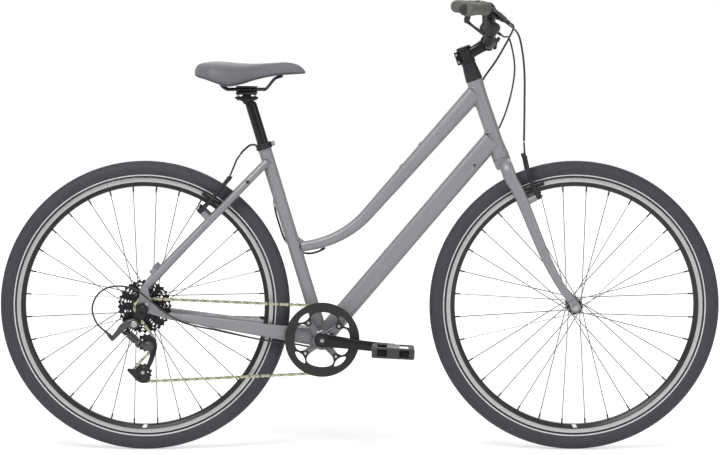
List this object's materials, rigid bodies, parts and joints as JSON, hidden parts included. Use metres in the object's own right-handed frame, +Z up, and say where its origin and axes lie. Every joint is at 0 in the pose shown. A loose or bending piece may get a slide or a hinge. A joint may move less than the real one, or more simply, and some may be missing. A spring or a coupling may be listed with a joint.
{
  "type": "step through bike",
  "caption": "City bicycle with a low bent upper tube, swept riser bar, rim brakes, derailleur gears, guarded chainring and wide padded saddle.",
  "frame": {"origin": "on the ground midway between the wheel axles, in the bicycle's middle plane", "axes": "+X forward, +Y to the rider's left, +Z up; the chain side faces -Y"},
  "size_m": [1.732, 0.6862, 1.081],
  "materials": {
    "frame_paint": "satin grey paint",
    "black_metal": "black anodised",
    "bearing_steel": "plain steel",
    "chain_steel": "oiled steel",
    "black_plastic": "moulded black",
    "rim_metal": "black with machined brake tracks",
    "tyre_rubber": "dark rubber",
    "grip_rubber": "warm grey soft rubber",
    "saddle_cover": "grey cover"
  },
  "bodies": {
    "frame": {"head_tube": "frame_paint", "top_tube": "frame_paint", "down_tube": "frame_paint", "seat_tube": "frame_paint", "bottom_bracket_shell": "frame_paint", "chainstay_right": "frame_paint", "chainstay_left": "frame_paint", "seatstay_right": "frame_paint", "seatstay_left": "frame_paint", "seat_collar": "black_metal", "bottom_bracket_cartridge": "bearing_steel", "rear_axle": "bearing_steel", "chain": "chain_steel", "rear_brake_housing": "black_plastic", "rear_shift_housing": "black_plastic", "steer_brake_housing": "black_plastic", "steer_shift_housing": "black_plastic", "derailleur_upper_knuckle": "black_metal"},
    "steering": {"fork": "frame_paint", "front_axle": "bearing_steel", "headset_cover": "black_metal", "stem": "black_metal", "stem_faceplate": "black_metal", "handlebar": "black_metal", "grip_right": "grip_rubber", "grip_left": "grip_rubber", "lever_bracket_right": "black_metal", "lever_bracket_left": "black_metal", "shifter_pod": "black_plastic", "front_brake_housing": "black_plastic"},
    "front_wheel": {"front_tyre": "tyre_rubber", "front_rim": "rim_metal", "front_hub": "black_metal"},
    "rear_wheel": {"rear_tyre": "tyre_rubber", "rear_rim": "rim_metal", "rear_hub": "black_metal"},
    "crank": {"crank_arm_right": "black_metal", "crank_arm_left": "black_metal", "chainring": "black_metal", "chainguard": "black_plastic"},
    "pedal_right": {"pedal_right": "black_plastic"},
    "pedal_left": {"pedal_left": "black_plastic"},
    "cassette": {"cassette": "bearing_steel"},
    "seatpost": {"seatpost": "black_metal"},
    "saddle_clamp": {"saddle_clamp": "black_metal"},
    "saddle": {"saddle_base": "black_plastic", "saddle_cushion": "saddle_cover"},
    "brake_lever_right": {"brake_lever_right": "black_metal"},
    "brake_lever_left": {"brake_lever_left": "black_metal"},
    "thumb_lever": {"thumb_lever": "black_plastic"},
    "release_lever": {"release_lever": "black_plastic"},
    "front_brake_arm_right": {"front_brake_arm_right": "black_metal"},
    "front_brake_arm_left": {"front_brake_arm_left": "black_metal"},
    "rear_brake_arm_right": {"rear_brake_arm_right": "black_metal"},
    "rear_brake_arm_left": {"rear_brake_arm_left": "black_metal"},
    "derailleur_link": {"derailleur_link": "black_metal"},
    "derailleur_lower_knuckle": {"derailleur_lower_knuckle": "black_metal"},
    "derailleur_cage": {"derailleur_cage": "black_metal"},
    "guide_pulley": {"guide_pulley": "black_plastic"},
    "tension_pulley": {"tension_pulley": "black_plastic"}
  },
  "joints": [
    {"name": "steering_turn", "type": "hinge", "parent": "frame", "child": "steering", "pos_m": [0.33988, 0, 0.70462], "axis": [-0.3272, 0, 0.9449], "range_deg": [-60, 60], "deforming": ["steer_brake_housing", "steer_shift_housing"]},
    {"name": "front_wheel_spin", "type": "hinge", "parent": "steering", "child": "front_wheel", "pos_m": [0.517, 0, 0.349], "axis": [0, 1, 0], "continuous": true},
    {"name": "rear_wheel_spin", "type": "hinge", "parent": "frame", "child": "rear_wheel", "pos_m": [-0.517, 0, 0.349], "axis": [0, 1, 0], "continuous": true},
    {"name": "crank_spin", "type": "hinge", "parent": "frame", "child": "crank", "pos_m": [-0.09, 0, 0.271], "axis": [0, 1, 0], "continuous": true, "deforming": ["chain"]},
    {"name": "pedal_right_spin", "type": "hinge", "parent": "crank", "child": "pedal_right", "pos_m": [0.07891, 0, 0.25176], "axis": [0, 1, 0], "continuous": true},
    {"name": "pedal_left_spin", "type": "hinge", "parent": "crank", "child": "pedal_left", "pos_m": [-0.25891, 0, 0.29024], "axis": [0, 1, 0], "continuous": true},
    {"name": "cassette_spin", "type": "hinge", "parent": "frame", "child": "cassette", "pos_m": [-0.517, 0, 0.349], "axis": [0, 1, 0], "continuous": true, "deforming": ["chain"]},
    {"name": "seatpost_slide", "type": "slide", "parent": "frame", "child": "seatpost", "axis": [-0.2907, 0, 0.9568], "range_m": [-0.09, 0.15]},
    {"name": "saddle_tilt", "type": "hinge", "parent": "seatpost", "child": "saddle_clamp", "pos_m": [-0.27126, 0, 0.84926], "axis": [0, 1, 0], "range_deg": [-4, 4]},
    {"name": "saddle_slide", "type": "slide", "parent": "saddle_clamp", "child": "saddle", "axis": [1, 0, 0], "range_m": [-0.015, 0.015]},
    {"name": "brake_lever_right_pull", "type": "hinge", "parent": "steering", "child": "brake_lever_right", "pos_m": [0.32671, -0.172, 1.04763], "axis": [-0.5592, 0, -0.829], "range_deg": [0, 11], "stiffness_Nm_per_rad": 0.8, "springref_deg": -17.19},
    {"name": "brake_lever_left_pull", "type": "hinge", "parent": "steering", "child": "brake_lever_left", "pos_m": [0.32671, 0.172, 1.04763], "axis": [0.5592, 0, 0.829], "range_deg": [0, 11], "stiffness_Nm_per_rad": 0.8, "springref_deg": -17.19},
    {"name": "front_brake_arm_right_swing", "type": "hinge", "parent": "steering", "child": "front_brake_arm_right", "pos_m": [0.42738, -0.04, 0.61467], "axis": [-0.8971, 0, -0.4419], "range_deg": [0, 2]},
    {"name": "front_brake_arm_left_swing", "type": "hinge", "parent": "steering", "child": "front_brake_arm_left", "pos_m": [0.42738, 0.04, 0.61467], "axis": [0.8971, 0, 0.4419], "range_deg": [0, 2]},
    {"name": "rear_brake_arm_right_swing", "type": "hinge", "parent": "frame", "child": "rear_brake_arm_right", "pos_m": [-0.38055, -0.04, 0.58022], "axis": [-0.715, 0, 0.6991], "range_deg": [0, 2]},
    {"name": "rear_brake_arm_left_swing", "type": "hinge", "parent": "frame", "child": "rear_brake_arm_left", "pos_m": [-0.38055, 0.04, 0.58022], "axis": [0.715, 0, -0.6991], "range_deg": [0, 2]},
    {"name": "thumb_lever_push", "type": "hinge", "parent": "steering", "child": "thumb_lever", "pos_m": [0.29147, -0.14, 1.00534], "axis": [-0.5592, 0, -0.829], "range_deg": [0, 30], "stiffness_Nm_per_rad": 0.05, "springref_deg": -22.92},
    {"name": "release_lever_pull", "type": "hinge", "parent": "steering", "child": "release_lever", "pos_m": [0.30597, -0.14, 0.99556], "axis": [-0.5592, 0, -0.829], "range_deg": [0, 12], "stiffness_Nm_per_rad": 0.05, "springref_deg": -22.92},
    {"name": "derailleur_swing", "type": "hinge", "parent": "frame", "child": "derailleur_link", "pos_m": [-0.558, -0.073, 0.293], "axis": [0.6242, 0.499, 0.6011], "range_deg": [0, 60], "stiffness_Nm_per_rad": 0.3, "springref_deg": -17.19, "deforming": ["chain"]},
    {"name": "derailleur_knuckle_swing", "type": "hinge", "parent": "derailleur_link", "child": "derailleur_lower_knuckle", "pos_m": [-0.528, -0.078, 0.266], "axis": [0.6242, 0.499, 0.6011], "range_deg": [-60, 0], "deforming": ["chain"]},
    {"name": "derailleur_cage_swing", "type": "hinge", "parent": "derailleur_lower_knuckle", "child": "derailleur_cage", "pos_m": [-0.505, -0.0604, 0.259], "axis": [0, 1, 0], "range_deg": [-55, 15], "stiffness_Nm_per_rad": 0.6, "deforming": ["chain"]},
    {"name": "guide_pulley_spin", "type": "hinge", "parent": "derailleur_cage", "child": "guide_pulley", "pos_m": [-0.512, -0.0604, 0.265], "axis": [0, 1, 0], "continuous": true, "deforming": ["chain"]},
    {"name": "tension_pulley_spin", "type": "hinge", "parent": "derailleur_cage", "child": "tension_pulley", "pos_m": [-0.5196, -0.0604, 0.1936], "axis": [0, 1, 0], "continuous": true, "deforming": ["chain"]}
  ],
  "couplings": [
    {"joint": "cassette_spin", "follows": "crank_spin", "ratio": 3.6364},
    {"joint": "guide_pulley_spin", "follows": "crank_spin", "ratio": -3.6364},
    {"joint": "tension_pulley_spin", "follows": "crank_spin", "ratio": 3.6364},
    {"joint": "front_brake_arm_right_swing", "follows": "brake_lever_left_pull", "ratio": 0.18},
    {"joint": "front_brake_arm_left_swing", "follows": "brake_lever_left_pull", "ratio": 0.18},
    {"joint": "rear_brake_arm_right_swing", "follows": "brake_lever_right_pull", "ratio": 0.18},
    {"joint": "rear_brake_arm_left_swing", "follows": "brake_lever_right_pull", "ratio": 0.18},
    {"joint": "derailleur_knuckle_swing", "follows": "derailleur_swing", "ratio": -1}
  ]
}
